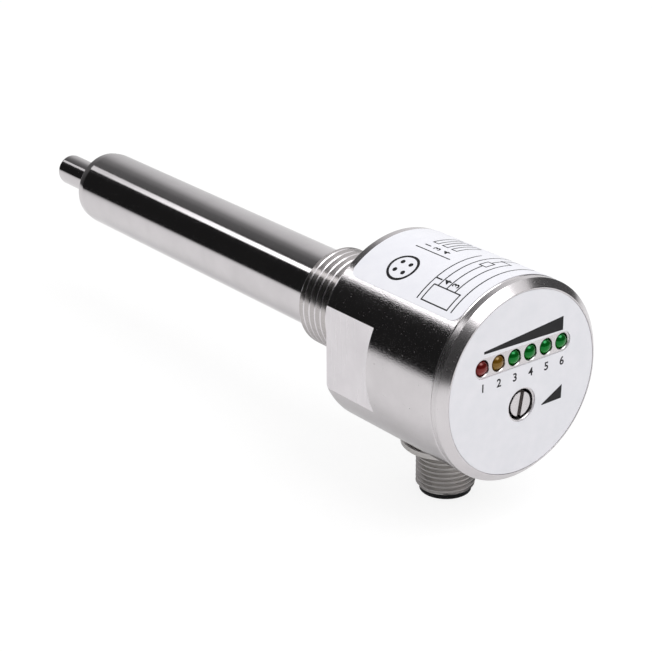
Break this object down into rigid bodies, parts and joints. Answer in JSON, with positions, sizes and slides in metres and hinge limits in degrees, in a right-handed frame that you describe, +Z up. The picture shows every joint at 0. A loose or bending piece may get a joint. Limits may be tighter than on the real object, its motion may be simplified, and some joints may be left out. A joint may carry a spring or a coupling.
{
  "type": "flow sensor",
  "caption": "Stainless calorimetric flow sensor with a long probe, pipe thread, round head with a lamp bar, slotted set-point adjuster and a plug connector.",
  "frame": {"origin": "centre of the sealing shoulder, where the process thread leaves the round housing", "axes": "+Y along the probe towards its tip, the display face looks to -Y, +Z up, connector to -Z"},
  "size_m": [0.04, 0.1608, 0.0506],
  "materials": {
    "stainless_steel": "turned and polished stainless steel",
    "bright_steel": "turned steel",
    "front_film": "printed polyester film",
    "side_film": "printed vinyl film",
    "red_epoxy": "tinted cast epoxy",
    "amber_epoxy": "tinted cast epoxy",
    "green_epoxy": "tinted cast epoxy",
    "seal_rubber": "moulded nitrile rubber",
    "blue_plastic": "moulded thermoset",
    "white_plastic": "moulded acetal",
    "board_laminate": "glass-fibre laminate with solder mask",
    "black_plastic": "moulded polyamide",
    "nickel_brass": "nickel-plated turned brass",
    "gold_brass": "gold-flashed brass",
    "lead_insulation": "extruded insulation",
    "alumina": "fired alumina",
    "element_ceramic": "fired ceramic chip"
  },
  "bodies": {
    "sensor_body": {"housing_body": "stainless_steel", "front_cap": "stainless_steel", "process_nipple": "stainless_steel", "probe_tube": "stainless_steel", "probe_tip": "stainless_steel", "board_screws": "bright_steel", "board_standoffs": "bright_steel", "front_label": "front_film", "side_label": "side_film", "red_led": "red_epoxy", "amber_led": "amber_epoxy", "green_leds": "green_epoxy", "cap_seal": "seal_rubber", "adjuster_seal": "seal_rubber", "connector_seal": "seal_rubber", "trimmer_body": "blue_plastic", "lead_guide": "white_plastic", "board_guides": "white_plastic", "display_board": "board_laminate", "main_board": "board_laminate", "board_header": "black_plastic", "board_chips": "black_plastic", "connector_insert": "black_plastic", "connector_shell": "nickel_brass", "connector_pins": "gold_brass", "connector_leads": "lead_insulation", "sensor_leads": "lead_insulation", "sensor_carrier": "alumina", "heated_element": "element_ceramic", "reference_element": "element_ceramic"},
    "setpoint_adjuster": {"adjuster_spindle": "bright_steel", "spindle_clip": "bright_steel", "trimmer_rotor": "white_plastic"}
  },
  "joints": [
    {"name": "setpoint_turn", "type": "hinge", "parent": "sensor_body", "child": "setpoint_adjuster", "pos_m": [0, -0.0357, -0.0045], "axis": [0, -1, 0], "range_deg": [-135, 135]}
  ]
}
